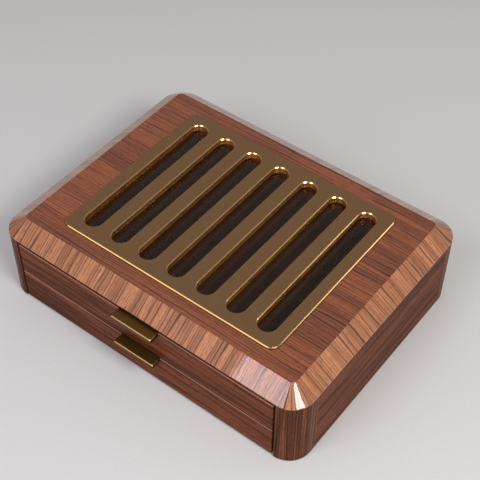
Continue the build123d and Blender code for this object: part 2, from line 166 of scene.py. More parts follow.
class ChestTray(bpy.types.PropertyGroup):
    """Padded pen trays"""

    foot: size("Ridge foot", 13.0, "Ridge between two pens, at its foot")
    crest: size("Ridge crest", 8.0, "The same at its top")
    height: size("Ridge height", 12.0, "Foam ridge without the cloth")
    crown: size("Crown", 2.4, "Rounding of a ridge's crest")
    cloth: size("Cloth", 0.8, "Thickness of the velvet")
    pull_in: size("Pull in", 0.5, "How far a pad's sides pull in between its corners")


class ChestStage(bpy.types.PropertyGroup):
    """Floor and lamps"""

    floor: tint("Floor", "#E6E4E1", "Colour of the floor")
    front_lamp: power("Front lamp", 4.0, "Power of the front softbox")
    right_lamp: power("Right lamp", 9.0, "Power of the right softbox")
    rim_lamp: power("Rim lamp", 1.9, "Power of the low strip that lights the rims")
    world: FloatProperty(name="World", description="Strength of the surrounding light", default=0.38, min=0)


GROUPS = {
    "pen_chest_wood": ChestWood,
    "pen_chest_metal": ChestMetal,
    "pen_chest_cloth": ChestCloth,
    "pen_chest_lid": ChestLid,
    "pen_chest_window": ChestWindow,
    "pen_chest_pull": ChestPull,
    "pen_chest_tray": ChestTray,
    "pen_chest_stage": ChestStage,
}


# ---- surfaces ----
# A patch is (points, faces, a map coordinate at each point, index of its finish).

MERGE = 0.0002 * MM  # points that round to the same multiple of this become one


def patch(points, flat=None, finish=0):
    """Quads between neighbours of a grid of points (rows, columns, 3). Its map is flat (rows, columns,
    2), or else the plan, x and y."""
    points = np.asarray(points)
    flat = points[..., :2] if flat is None else flat
    rows, columns = points.shape[:2]
    index = np.arange(rows * columns).reshape(rows, columns)
    quads = np.stack([index[:-1, :-1], index[:-1, 1:], index[1:, 1:], index[1:, :-1]], -1)
    return points.reshape(-1, 3), quads.reshape(-1, 4), flat.reshape(-1, 2), finish


def flat_face(line, axes=(0, 1), finish=0):
    """One flat face inside a closed line, whose last point repeats its first. Its map is two of the
    axes."""
    points = line[:-1]
    return points, [list(range(len(points)))], points[:, list(axes)], finish


def piece(name, patches, finishes, crease=35.0):
    """Joins patches into one closed mesh. Points that coincide become one, quads that shrink to a line at
    a pole lose their doubled corner, faces are turned outward and edges sharper than crease degrees stay
    sharp."""
    points = np.concatenate([p[0] for p in patches])
    starts = np.cumsum([0] + [len(p[0]) for p in patches[:-1]])
    _, first, same = np.unique(np.round(points / MERGE), axis=0, return_index=True, return_inverse=True)
    same = same.reshape(-1)
    shapes, indices = [], []
    for start, (_, faces, _, index) in zip(starts, patches):
        if isinstance(faces, list):
            kept = [np.array(face) + start for face in faces]
        else:
            quads = faces + start
            doubled = same[quads] == same[np.roll(quads, -1, 1)]
            lost = doubled.sum(1)
            kept = list(quads[lost == 0])
            kept += list(quads[lost == 1][~doubled[lost == 1]].reshape(-1, 3))
        shapes += kept
        indices += [index] * len(kept)
    mesh = bpy.data.meshes.new(name)
    mesh.from_pydata(points[first].tolist(), [], [same[shape].tolist() for shape in shapes])
    flat = np.concatenate([p[2] for p in patches])[np.concatenate(shapes)]
    mesh.uv_layers.new(name="grain").data.foreach_set("uv", flat.astype(np.float32).ravel())
    mesh.polygons.foreach_set("material_index", indices)
    work = bmesh.new()
    work.from_mesh(mesh)
    bmesh.ops.recalc_face_normals(work, faces=work.faces)
    work.to_mesh(mesh)
    work.free()
    mesh.polygons.foreach_set("use_smooth", [True] * len(mesh.polygons))
    mesh.set_sharp_from_angle(angle=radians(crease))
    for material in finishes:
        mesh.materials.append(material)
    made = bpy.data.objects.new(name, mesh)
    bpy.context.scene.collection.objects.link(made)
    return made


def soften(line, radii, steps=4, closed=False, hold=0.25):
    """A line of corners whose every corner with a radius becomes an arc of that radius, tangent to both
    of its sides, with a holding point just before and after so that smooth shading keeps the flats flat.
    The arc turns evenly from one touching radius to the other. hold is how far the holding points stand
    off, as a share of the radius."""
    line = np.asarray(line, float)
    count = len(line)
    rows = []
    for i, radius in enumerate(radii):
        if radius <= 0 or (not closed and i in (0, count - 1)):
            rows.append(line[i : i + 1])
            continue
        back, on = line[i - 1] - line[i], line[(i + 1) % count] - line[i]
        back, on = back / np.linalg.norm(back), on / np.linalg.norm(on)
        half = np.arccos(np.clip(back @ on, -1, 1)) / 2
        reach = radius / np.tan(half)
        middle = line[i] + (back + on) / np.linalg.norm(back + on) * radius / np.sin(half)
        start, end = line[i] + back * reach - middle, line[i] + on * reach - middle
        turn = pi - 2 * half
        t = np.linspace(0, 1, steps + 1)[:, None]
        bend = middle + (np.sin((1 - t) * turn) * start + np.sin(t * turn) * end) / np.sin(turn)
        guard = hold * radius
        rows.append(np.concatenate([[bend[0] + back * guard], bend, [bend[-1] + on * guard]]))
    return np.concatenate(rows)


def arc(centre, radius, start, end, steps):
    """Points of a circle from one angle to another."""
    turn = np.linspace(start, end, steps + 1)
    return np.column_stack([centre[0] + radius * np.cos(turn), centre[1] + radius * np.sin(turn)])


def round_rect(half_x, half_y, radius, steps):
    """Closed outline of a rectangle with round corners, counter-clockwise from the front right corner.
    Every such outline with the same steps has its corners at the same places in the row."""
    quarter = pi / 2
    rows = []
    for i, (sx, sy) in enumerate(((1, -1), (1, 1), (-1, 1), (-1, -1))):
        middle = (sx * (half_x - radius), sy * (half_y - radius))
        rows.append(arc(middle, radius, (i - 1) * quarter, i * quarter, steps))
    line = np.concatenate(rows)
    return np.concatenate([line, line[:1]])


def raised(line, z):
    """A line of points in plan, set at a height."""
    return np.column_stack([line, np.full(len(line), z)])


def travel(line):
    """Distance along a line of points, from its first."""
    return np.concatenate([[0], np.cumsum(np.linalg.norm(np.diff(line, axis=0), axis=1))])


def upright(plan, levels, axes=(0, 1)):
    """A closed plan carried straight up through levels, with a flat face at either end. On the walls the
    map is the height and the way round the plan."""
    rows = np.stack([raised(plan, z) for z in levels])
    flat = np.stack([rows[..., 2], np.broadcast_to(travel(plan), rows.shape[:2])], -1)
    return [patch(rows, flat), flat_face(rows[0], axes), flat_face(rows[-1], axes)]


# ---- finishes ----

SMOOTH = {"interpolation_type": "SMOOTHSTEP"}
# Settings of a Mix of two colours, whose inputs are 0 for the share and 6 and 7 for the colours.
COLOURS = {"data_type": "RGBA", "clamp_result": True, "out": 2}


def feed(tree, node, inputs):
    """Sets a node's inputs, given in order or by key. A value goes on the socket itself, another node's
    output is linked to it."""
    for key, value in inputs.items() if isinstance(inputs, dict) else enumerate(inputs):
        if isinstance(value, bpy.types.NodeSocket):
            tree.links.new(value, node.inputs[key])
        else:
            node.inputs[key].default_value = value


def add(tree, kind, inputs=(), out=0, **settings):
    """Adds a shader node with its inputs and settings, and gives back one of its outputs."""
    made = tree.nodes.new("ShaderNode" + kind)
    for key, value in settings.items():
        setattr(made, key, value)
    feed(tree, made, inputs)
    return made.outputs[out] if made.outputs else made


def new_material(name):
    """An empty node material, its tree and its Principled shader."""
    made = bpy.data.materials.new(name)
    made.use_nodes = True
    tree = made.node_tree
    tree.nodes.clear()
    shader = add(tree, "BsdfPrincipled")
    add(tree, "OutputMaterial", {"Surface": shader})
    return made, tree, shader.node


def rgba(colour):
    """A colour with an alpha of 1."""
    return (*tuple(colour)[:3], 1.0)


def stretched(along, across, axis):
    """Pattern scales for marks that are so many millimetres long along an axis (0 to 2) and so wide
    across."""
    scale = [1 / (across * MM)] * 3
    scale[axis] = 1 / (along * MM)
    return scale


def walnut(name, axis, tones, line, sway, bands, depth, seed, coat=1.0, wave=70.0, edges=()):
    """Walnut cut with straight grain. axis is the way the grain runs: X, Y or Z of the object, or MAP
    where the first map coordinate runs along it. In millimetres, line is the usual distance between dark
    growth lines, sway how far they wander, wave over what length they do, and bands the width of the
    broad paler and darker bands. depth is the strength of the lines, seed the place in the pattern, and
    coat the weight of the gloss lacquer, with 0 for oiled wood. edges, for grain along an axis of the
    object, are level lines of another tone round the piece, each as height, half width, tone and share:
    painted highlights and painted shadows along a piece's edges.

    Light and base tones drift in the bands. A growth line darkens towards its end and stops sharply, and
    a long stretched noise sets how early it starts. Fine fibres and short open pores lie on them."""
    made, tree, shader = new_material(name)
    on_map = axis == "MAP"
    way = 0 if on_map else "XYZ".index(axis)
    if on_map:
        place = add(tree, "UVMap", uv_map="grain")
    else:
        place = add(tree, "TexCoord", out="Object")

    # The place is shifted across the grain by a slow noise, so that every line wanders.
    scale = stretched(wave, wave * 0.4, way)
    at = add(tree, "Mapping", {"Vector": place, "Scale": scale, "Location": (seed, seed, seed)})
    drift = add(tree, "TexNoise", {"Vector": at, "Scale": 1.0, "Detail": 1.5}, "Color")
    reach = [2 * sway * MM] * 3
    reach[way] = 0.0
    shift = add(tree, "VectorMath", (drift, (0.5, 0.5, 0.5)), operation="SUBTRACT")
    shift = add(tree, "VectorMath", (shift, reach), operation="MULTIPLY")
    bent = add(tree, "VectorMath", (place, shift), operation="ADD")

    # Noises stretched along the grain, each with its length and width in millimetres and its own start.
    marks = {}
    for mark, along, across, start, detail, rough in (
        ("band", bands * 12, bands * 0.5, (seed + 3, seed, seed), 1.0, 0.5),
        ("uneven", line * 60, line * 2.6, (seed, seed + 5, seed), 1.0, 0.5),
        ("early", line * 40, line * 1.1, (seed, seed, seed + 9), 1.0, 0.5),
        ("fibre", 9.0, 0.55, (seed + 7, seed, seed), 2.0, 0.6),
        ("pore", 4.2, 0.7, (seed, 2, seed), 0.0, 0.5),
    ):
        scale = stretched(along, across, way)
        at = add(tree, "Mapping", {"Vector": bent, "Scale": scale, "Location": start})
        look = {"Scale": 1.0, "Detail": detail, "Roughness": rough}
        marks[mark] = add(tree, "TexNoise", {"Vector": at, **look})
    band, early, fibre = marks["band"], marks["early"], marks["fibre"]

    # Lines are counted across the grain and shifted by up to 3.2 of them. phase runs from one to the next.
    per_line = [1 / (line * MM)] * 3
    per_line[way] = 0.0
    if on_map:
        per_line[2] = 0.0
    count = add(tree, "VectorMath", (bent, per_line), "Value", operation="DOT_PRODUCT")
    uneven = add(tree, "Math", (marks["uneven"], 3.2), operation="MULTIPLY")
    phase = add(tree, "Math", (count, uneven), operation="ADD")
    phase = add(tree, "Math", (phase,), operation="FRACT")
    start = add(tree, "MapRange", (early, 0.3, 0.64, 0.45, 0.9))
    late = add(tree, "MapRange", (phase, start, 0.99), **SMOOTH)
    close = add(tree, "MapRange", (phase, 0.0, 0.07, 0.6, 0.0), **SMOOTH)
    thin = add(tree, "Math", (late, close), operation="MAXIMUM")
    strength = add(tree, "MapRange", (band, 0.3, 0.65, depth, 0.85 * depth), **SMOOTH)
    pore = add(tree, "MapRange", (marks["pore"], 0.62, 0.7), **SMOOTH)

    # Broad bands of two tones, then the dark between close lines, the lines, the pores and the fibres.
    light, base, dark = (rgba(tone) for tone in tones)
    share = add(tree, "MapRange", (band, 0.38, 0.6), **SMOOTH)
    colour = add(tree, "Mix", {0: share, 6: base, 7: light}, **COLOURS)
    for share in (
        add(tree, "MapRange", (early, 0.34, 0.5, 0.2 * depth, 0.0), **SMOOTH),
        add(tree, "Math", (thin, strength), operation="MULTIPLY"),
        add(tree, "Math", (pore, 0.35), operation="MULTIPLY"),
    ):
        colour = add(tree, "Mix", {0: share, 6: colour, 7: dark}, **COLOURS)
    shade = add(tree, "MapRange", (fibre, 0.25, 0.75, 0.72, 1.24))
    colour = add(tree, "VectorMath", {0: colour, "Scale": shade}, operation="SCALE")
    # Painted light at given heights: on the drawer fronts, a painted highlight under the top edge and
    # painted shade at the foot.
    for level, half, tone, most in edges:
        height = add(tree, "SeparateXYZ", (place,), "Z")
        off = add(tree, "Math", (height, level), operation="SUBTRACT")
        off = add(tree, "Math", (off,), operation="ABSOLUTE")
        share = add(tree, "MapRange", (off, 0.5 * half, half, most, 0.0), **SMOOTH)
        colour = add(tree, "Mix", {0: share, 6: colour, 7: rgba(tone)}, **COLOURS)

    # Fibres stand up a little, and pores are open.
    sunk = add(tree, "Math", (pore, 1.5), operation="MULTIPLY")
    relief = add(tree, "Math", (fibre, sunk), operation="SUBTRACT")
    bump = add(tree, "Bump", {"Strength": 0.25, "Distance": 0.04 * MM, "Height": relief})
    feed(tree, shader, {"Base Color": colour, "Normal": bump, "Roughness": 0.42, "IOR": 1.5})
    if coat:
        # Lacquer: the wood under it is matt, and its own skin has ripples about 6 mm wide.
        peel = add(tree, "TexNoise", {"Vector": place, "Scale": 1 / (6.25 * MM), "Detail": 1.0})
        skin = add(tree, "Bump", {"Strength": 0.05, "Distance": 0.02 * MM, "Height": peel})
        lacquer = {"Coat Weight": coat, "Coat Roughness": 0.035, "Coat IOR": 1.5, "Coat Normal": skin}
        feed(tree, shader, {"Roughness": 0.5, "Specular IOR Level": 0.5 * coat**2, **lacquer})
    return made


def front_painted_edge_lines(pale, dark):
    """Painted edge lines of the drawer fronts: a painted highlight just under the upper arris, where the
    rounded edge catches the light, and a painted shadow along the lower one, where the gap is in shade."""
    boxes = [corners(f"{level}_front") for level in LEVELS]
    upper = [(high[2] - 0.45 * MM, 0.42 * MM, pale, 0.45) for _, high in boxes]
    return upper + [(low[2], 0.9 * MM, dark, 0.7) for low, _ in boxes]


def pale_wood(name, axis, tones, line):
    """Birch or beech, sanded and unfinished: pale, with faint lines at line millimetres and short
    flecks."""
    made, tree, shader = new_material(name)
    place = add(tree, "TexCoord", out="Object")
    way = "XYZ".index(axis)
    at = add(tree, "Mapping", {"Vector": place, "Scale": stretched(line * 30, line, way)})
    grain = add(tree, "TexNoise", {"Vector": at, "Scale": 1.0, "Detail": 3.0, "Roughness": 0.55})
    at = add(tree, "Mapping", {"Vector": place, "Scale": stretched(5.0, 0.6, way)})
    fleck = add(tree, "TexNoise", {"Vector": at, "Scale": 1.0, "Detail": 0.0})
    light, dark = (rgba(tone) for tone in tones)
    share = add(tree, "MapRange", (grain, 0.3, 0.7))
    colour = add(tree, "Mix", {0: share, 6: dark, 7: light}, **COLOURS)
    share = add(tree, "MapRange", (fleck, 0.6, 0.72, 0.0, 0.4), **SMOOTH)
    colour = add(tree, "Mix", {0: share, 6: colour, 7: dark}, **COLOURS)
    bump = add(tree, "Bump", {"Strength": 0.3, "Distance": 0.04 * MM, "Height": grain})
    feed(tree, shader, {"Base Color": colour, "Normal": bump, "Roughness": 0.6})
    return made


def metal(name, colour, rough, grit, brushed=None, wear=0.06):
    """A metal surface: even colour, roughness that drifts a little over 33 mm, and either a fine blasted
    grit or, where brushed names an axis, long hairlines along it. grit is the size of either in
    millimetres, and wear how much they lighten and darken the colour."""
    made, tree, shader = new_material(name)
    place = add(tree, "TexCoord", out="Object")
    scale = stretched(grit * 60, grit, "XYZ".index(brushed)) if brushed else stretched(grit, grit, 0)
    at = add(tree, "Mapping", {"Vector": place, "Scale": scale})
    mark = add(tree, "TexNoise", {"Vector": at, "Scale": 1.0, "Detail": 2.0})
    cloud = add(tree, "TexNoise", {"Vector": place, "Scale": 1 / (33.3 * MM), "Detail": 2.0})
    shade = add(tree, "MapRange", (mark, 0.25, 0.75, 1 - wear, 1 + wear))
    tone = add(tree, "VectorMath", {0: tuple(colour)[:3], "Scale": shade}, operation="SCALE")
    dulled = add(tree, "MapRange", (cloud, 0.3, 0.7, rough * 0.9, rough * 1.1), **SMOOTH)
    scratched = add(tree, "Math", (mark, rough * 0.15), operation="MULTIPLY")
    level = add(tree, "Math", (dulled, scratched), operation="ADD")
    bump = add(tree, "Bump", {"Strength": 0.12, "Distance": 0.01 * MM, "Height": mark})
    feed(tree, shader, {"Base Color": tone, "Roughness": level, "Normal": bump, "Metallic": 1.0})
    return made


def soft_cloth(name, colour, shade, thread, sheen):
    """Short-pile cloth such as velvet or felt: matt, with a sheen at glancing angles, flecked fibre by
    fibre at thread millimetres, and streaked along the grooves, 11 mm wide and 71 mm long, where pens
    have brushed the pile down. The fibres are drawn coarser than real pile, which is too fine to show."""
    made, tree, shader = new_material(name)
    place = add(tree, "TexCoord", out="Object")
    look = {"Scale": 1 / (thread * MM), "Detail": 2.0, "Roughness": 0.7}
    pile = add(tree, "TexNoise", {"Vector": place, **look})
    at = add(tree, "Mapping", {"Vector": place, "Scale": stretched(71.4, 11.1, 1)})
    lean = add(tree, "TexNoise", {"Vector": at, "Scale": 1.0, "Detail": 2.0})
    share = add(tree, "MapRange", (pile, 0.3, 0.7, 0.35, 0.75), **SMOOTH)
    tone = add(tree, "Mix", {0: share, 6: rgba(shade), 7: rgba(colour)}, **COLOURS)
    streak = add(tree, "MapRange", (lean, 0.35, 0.65, 0.84, 1.18), **SMOOTH)
    tone = add(tree, "VectorMath", {0: tone, "Scale": streak}, operation="SCALE")
    bump = add(tree, "Bump", {"Strength": 0.05, "Distance": 0.02 * MM, "Height": pile})
    feed(tree, shader, {"Base Color": tone, "Normal": bump, "Roughness": 0.95, "Specular IOR Level": 0.2})
    feed(tree, shader, {"Sheen Weight": sheen, "Sheen Roughness": 0.4, "Sheen Tint": rgba(colour)})
    return made


def rubber(name, colour, rough):
    """Moulded rubber: near black, dull, with a dusty mottle about 1 mm across."""
    made, tree, shader = new_material(name)
    place = add(tree, "TexCoord", out="Object")
    dust = add(tree, "TexNoise", {"Vector": place, "Scale": 1 / (1.11 * MM), "Detail": 3.0})
    shade = add(tree, "MapRange", (dust, 0.3, 0.7, 0.75, 1.25), **SMOOTH)
    tone = add(tree, "VectorMath", {0: tuple(colour)[:3], "Scale": shade}, operation="SCALE")
    feed(tree, shader, {"Base Color": tone, "Roughness": rough})
    return made


def float_glass(name):
    """Clear float glass, faintly warm, under an anti-reflection coating that keeps the trays easy to see.
    Light that only passes on its way to a lit surface goes straight through."""
    made, tree, shader = new_material(name)
    body, coating, thrown = (rgba(linear(code)) for code in ("#FFF6EE", "#BCA698", "#F6EEE6"))
    feed(tree, shader, {"Base Color": body, "Transmission Weight": 1.0, "IOR": 1.52, "Roughness": 0.0})
    feed(tree, shader, {"Specular Tint": coating})
    shadow_ray = add(tree, "LightPath", out="Is Shadow Ray")
    through = add(tree, "BsdfTransparent", {"Color": thrown})
    lit = add(tree, "MixShader", (shadow_ray, shader.outputs[0], through))
    feed(tree, tree.nodes["Material Output"], {"Surface": lit})
    return made


FINISHES = {}


def finish(name):
    """A finish of the chest by its name, made the first time it is asked for."""
    if name in FINISHES:
        return FINISHES[name]
    scene = bpy.context.scene
    wood, metals, cloth = scene.pen_chest_wood, scene.pen_chest_metal, scene.pen_chest_cloth
    top = (wood.top_light, wood.top_base, wood.top_dark)
    band = (wood.band_light, wood.band_base, wood.band_dark)
    side = (wood.side_light, wood.side_base, wood.side_dark)
    # Sides, back and posts: side tones darkened to 0.84, painted shade for faces the lamps light more.
    side_in_painted_shade = tuple(tuple(0.84 * value for value in tone) for tone in side)
    narrow = {"line": 1.4, "sway": 0.4, "bands": 9, "depth": 1.05, "coat": 0.15}
    oiled = {"line": 3.0, "sway": 0.8, "bands": 20, "depth": 0.8, "coat": 0.0}
    # Painted edge lines: a highlight in the arris tone under each top edge, shade in the dark side tone at
    # each foot.
    front = {"seed": 21.0, "edges": front_painted_edge_lines(wood.arris, wood.side_dark), **narrow}
    pile = (cloth.velvet, cloth.velvet_deep)
    makers = {
        # Flat-sliced veneer under gloss lacquer: dark lines 2 to 5 mm apart that wander, wet-looking.
        "walnut_top_veneer": lambda: walnut(name, "MAP", top, 2.7, 0.9, 24, 1.0, 2.0, wave=30),
        # The same veneer laid across the bevels: short lines from edge to edge, paler, with sharp lights.
        "walnut_crossband": lambda: walnut(name, "MAP", band, 3.0, 0.9, 22, 1.0, 11.0, wave=18),
        # Quarter-cut veneer under a thinner coat, in painted shade: close, almost level lines and only a
        # soft shine.
        "walnut_side_veneer": lambda: walnut(name, "Y", side_in_painted_shade, seed=5.0, **narrow),
        "walnut_back_veneer": lambda: walnut(name, "X", side_in_painted_shade, seed=8.0, **narrow),
        # The same on the drawer fronts: a painted highlight under the top arris, painted shade at the foot.
        "walnut_front_veneer": lambda: walnut(name, "X", side, **front),
        # Rounded posts under a thin coat, in painted shade: upright lines that bend out of sight round the
        # corner.
        "walnut_post": lambda: walnut(name, "MAP", side_in_painted_shade, 2.2, 0.4, 9, 1.1, 31.0, coat=0.2),
        # Solid drawer boxes, sanded and oiled: wide soft lines and a low gloss.
        "walnut_oiled": lambda: walnut(name, "Y", side, seed=14.0, **oiled),
        "walnut_oiled_back": lambda: walnut(name, "X", side, seed=17.0, **oiled),
        # Sanded birch: cream, almost without figure, dry to the eye.
        "sanded_birch": lambda: pale_wood(name, "X", (wood.birch, wood.birch_line), 1.6),
        # Planed beech: pinkish tan with many short flecks.
        "planed_beech": lambda: pale_wood(name, "Y", (wood.beech, wood.beech_line), 1.2),
        # Bead-blasted brass: an even, dull gold with a fine grit and no clear mirror images.
        "blasted_brass": lambda: metal(name, metals.brass, 0.33, 0.6, wear=0.13),
        # Diamond-cut and polished brass: a thin bright gold line that mirrors the lamps.
        "polished_brass": lambda: metal(name, metals.rim, 0.16, 0.6, wear=0.03),
        # Milled brass: deeper gold, dull enough to glow softly down the slot.
        "slot_wall_brass": lambda: metal(name, metals.wall, 0.5, 0.5),
        # Brushed bronze: dark gold streaked lengthwise. Its hairlines are coarser than real ones, to show.
        "hairline_bronze": lambda: metal(name, metals.bronze, 0.42, 0.3, "X", 0.4),
        # Bronze bevel on the free edges: smoother, and paler brass in colour, a painted highlight as a
        # bright line.
        "bronze_bevel_painted_highlight": lambda: metal(name, metals.brass, 0.22, 0.6, wear=0.03),
        # Sawn bronze faces: upright marks, in the bronze darkened to 0.6, which is painted shade.
        "bronze_edge": lambda: metal(name, [0.6 * value for value in metals.bronze], 0.4, 0.22, "Z", 0.25),
        # Turned bronze screw: a small clean highlight.
        "pull_screw_bronze": lambda: metal(name, metals.bronze, 0.25, 0.3),
        # Turned steel: cool grey, half bright.
        "screw_steel": lambda: metal(name, metals.steel, 0.3, 0.3),
        # Cut rubber sheet: a black line at the foot of the slot walls.
        "gasket_rubber": lambda: rubber(name, metals.gasket, 0.6),
        # Moulded rubber stop: soft black without a highlight.
        "bumper_rubber": lambda: rubber(name, metals.bumper, 0.7),
        # Cotton velvet: dark brown that lightens at glancing angles, faintly streaked along the grooves.
        "tray_velvet": lambda: soft_cloth(name, *pile, 0.5, 0.6),
        # Flocked foam: coarser and flatter than the velvet over it.
        "flocked_foam": lambda: soft_cloth(name, *pile, 1.2, 0.1),
        # Pressed wool felt: charcoal, quite matt.
        "base_felt_cloth": lambda: soft_cloth(name, cloth.felt, cloth.velvet_deep, 0.7, 0.2),
        # Float glass with a coating: nearly unseen, with weak warm mirror images.
        "float_glass": lambda: float_glass(name),
    }
    FINISHES[name] = makers[name]()
    return FINISHES[name]


def settle(made, body, slot, *nodes):
    """A finished piece rides on its body and stands for its CAD nodes, which it hides. slot is not used."""
    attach(made, body)
    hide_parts(*nodes)


def dress(node, material):
    """Gives a CAD node that stays visible its material."""
    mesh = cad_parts[node].data
    mesh.materials.clear()
    mesh.materials.append(material)


def corners(node):
    """A CAD node's lowest and highest corner as arrays."""
    low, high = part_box(node)
    return np.array(low), np.array(high)


# ---- lid ----

CORNER_STEPS = 16


class PENCHEST_OT_lid(bpy.types.Operator):
    """Lid board. Outlines with round corners, each at its own level and inset, are stacked and closed
    into one ring: upright land, bevel that turns the corners as cones, flat top, and the steps for plate
    and glass"""

    bl_idname = "pen_chest.lid"
    bl_label = "Lid board"

    def execute(self, context):
        p, window = context.scene.pen_chest_lid, context.scene.pen_chest_window
        low, high = corners("top_board")
        plate_low, plate_high = corners("window_plate")
        glass_low, _ = corners("window_glass")
        rise, top = high[2] - low[2], high[2]
        beyond, foot_rounding, mouth_rounding = 4 * MM, 0.2 * MM, 0.3 * MM

        def outer(inset, z):
            """The case's outline, drawn in by inset."""
            return raised(round_rect(*(high[:2] - inset), p.corner - inset, CORNER_STEPS), z)

        def inner(inset, radius, z):
            """The window plate's outline, drawn in by inset, with a corner radius of its own."""
            return raised(round_rect(*(plate_high[:2] - inset), radius, CORNER_STEPS), z)

        # Profile of the edge as (inset, height): land, bevel and a little of the top.
        slope = [(0, 0), (0, p.land), (p.bevel, rise), (p.bevel + beyond, rise)]
        edge = soften(slope, (0, foot_rounding, p.arris, 0), 5) + (0, low[2])
        rings = np.stack([outer(inset, z) for inset, z in edge])
        flat_from = np.argmax(edge[:, 1] > top - MERGE)
        # The banding's grain runs up the bevel, so its map is the way up the profile and the way round.
        up, around = travel(edge), travel(outer(p.bevel / 2, 0))
        banding = np.stack(np.meshgrid(up, around, indexing="ij"), -1)
        patches = [patch(rings[: flat_from + 1], banding[: flat_from + 1], 1)]

        recess = window.corner + p.fit
        mouth = [(step - p.fit, recess - step, top) for step in (-2 * mouth_rounding, -mouth_rounding)]
        wall_top = inner(-p.fit, recess, top - mouth_rounding)
        patches.append(patch([*rings[flat_from:], *(inner(*ring) for ring in mouth), wall_top]))

        hole = p.glass_step + p.opening_step
        stairs = [
            (-p.fit, recess, plate_low[2]),
            (p.glass_step, p.glass_corner, plate_low[2]),
            (p.glass_step, p.glass_corner, glass_low[2]),
            (hole, p.opening_corner, glass_low[2]),
            (hole, p.opening_corner, low[2]),
        ]
        patches.append(patch([wall_top, *(inner(*ring) for ring in stairs), outer(0, low[2])]))
        made = piece("walnut_lid", patches, [finish("walnut_top_veneer"), finish("walnut_crossband")], 50)
        settle(made, "case", "walnut_lacquer", "top_board")
        return {"FINISHED"}


# ---- window ----

END_STEPS = 32  # straight steps round each slot end; a fourth of them lies on each side of a cell's corner
SIDE_STEPS = 6


def slot_ring(x, straight, radius, z, square=False):
    """Closed outline round the slot at x, counter-clockwise from its right side. Its sides run straight
    to either end, where a half circle joins them. A square ring has the same points thrown outward from
    the end's middle onto a rectangle that stands radius beyond it, so that a fourth of the steps lands on
    each side of a corner."""
    turn = np.linspace(0, pi, END_STEPS + 1)
    way = np.array([np.cos(turn), np.sin(turn)])
    far = np.abs(way).max(0) if square else 1.0
    end_x, end_y = radius * way / far
    end = np.column_stack([end_x, straight + end_y])
    side = np.linspace(-straight, straight, SIDE_STEPS + 1)[1:-1]
    side = np.column_stack([np.full(len(side), radius), side])
    return raised(np.concatenate([end, -side, -end, side, end[:1]]) + (x, 0), z)


def framed(line, inner_half, outer_half, radius, inset, z):
    """Points on a rectangle's edge pushed out onto a larger rectangle with round corners: each is scaled
    onto the larger rectangle, held inside its core, and set one corner radius away from there."""
    flat = line * (outer_half / inner_half)
    core = outer_half - radius
    held = np.clip(flat, -core, core)
    away = flat - held
    away = away / np.linalg.norm(away, axis=1, keepdims=True)
    return raised(held + away * (radius - inset), z)


def border(half_x, half_y, xs, ys):
    """Closed line round a rectangle through given x on its long sides and y on its short ones."""
    right = np.column_stack([np.full(len(ys), half_x), ys])
    back = np.column_stack([xs[::-1], np.full(len(xs), half_y)])
    left = np.column_stack([np.full(len(ys), -half_x), ys[::-1]])
    front = np.column_stack([xs, np.full(len(xs), -half_y)])
    return np.concatenate([right, back[1:], left[1:], front[1:]])


class PENCHEST_OT_window(bpy.types.Operator):
    """Slotted brass plate. Round each slot the top is a ring from the slot's outline to a rectangle, and
    the rectangles side by side are framed out to the plate's edge. A rim profile of top, bright bevel and
    upright wall is carried down every slot and round the edge. Gasket and glass keep their CAD shapes"""

    bl_idname = "pen_chest.window"
    bl_label = "Window plate, gasket and glass"

    def execute(self, context):
        p = context.scene.pen_chest_window
        low, high = corners("window_plate")
        bottom, top = low[2], high[2]
        reach, radius = p.pitch / 2, p.slot_width / 2
        straight = p.slot_length / 2 - radius
        lead, crisp = 2 * MM, 0.12 * MM
        satin, bright, milled = range(3)
        # Profile of the rim as (inset, height). Its first point only gives the first arc its direction.
        slope = [(-lead, top), (0, top), (p.rim, top - p.rim), (p.rim, bottom)]
        profile = soften(slope, (0, crisp, crisp, 0), 2)[1:]
        centres = (np.arange(p.slots) - (p.slots - 1) / 2) * p.pitch
        patches = []
        for x in centres:
            wall = np.stack([slot_ring(x, straight, radius - inset, z) for inset, z in profile])
            patches += [
                patch([slot_ring(x, straight, reach, top, square=True), wall[0]], finish=satin),
                patch(wall[:-1], finish=bright),
                patch(wall[-2:], finish=milled),
                patch([wall[-1], slot_ring(x, straight, reach, bottom, square=True)], finish=satin),
            ]

        # The frame meets every outer point of the cells: xs along their ends, ys up the two outer sides.
        # Places are rounded to a nanometre, so that a point that two cells share is listed once.
        inner_half = np.array([p.slots * reach, straight + reach])
        turn = np.linspace(0, pi, END_STEPS + 1)
        fourth = END_STEPS // 4
        over = turn[fourth : 3 * fourth + 1]
        spread = reach * np.cos(over) / np.sin(over)
        climb = straight + reach * np.tan(turn[: fourth + 1])
        sides = [np.linspace(-straight, straight, SIDE_STEPS + 1), climb, -climb]
        digits = 9
        xs = np.unique(np.round(np.concatenate([x + spread for x in centres]), digits))
        ys = np.unique(np.round(np.concatenate(sides), digits))
        cells = border(*inner_half, xs, ys)
        rim = [framed(cells, inner_half, high[:2], p.corner, p.rim - inset, z) for inset, z in profile]
        patches += [
            patch([raised(cells, top), rim[0]], finish=satin),
            patch(rim, finish=bright),
            patch([rim[-1], raised(cells, bottom)], finish=satin),
        ]
        finishes = [finish("blasted_brass"), finish("polished_brass"), finish("slot_wall_brass")]
        settle(piece("slotted_brass_plate", patches, finishes, 30), "case", "satin_brass", "window_plate")
        dress("window_gasket", finish("gasket_rubber"))
        dress("window_glass", finish("float_glass"))
        return {"FINISHED"}


# ---- case ----


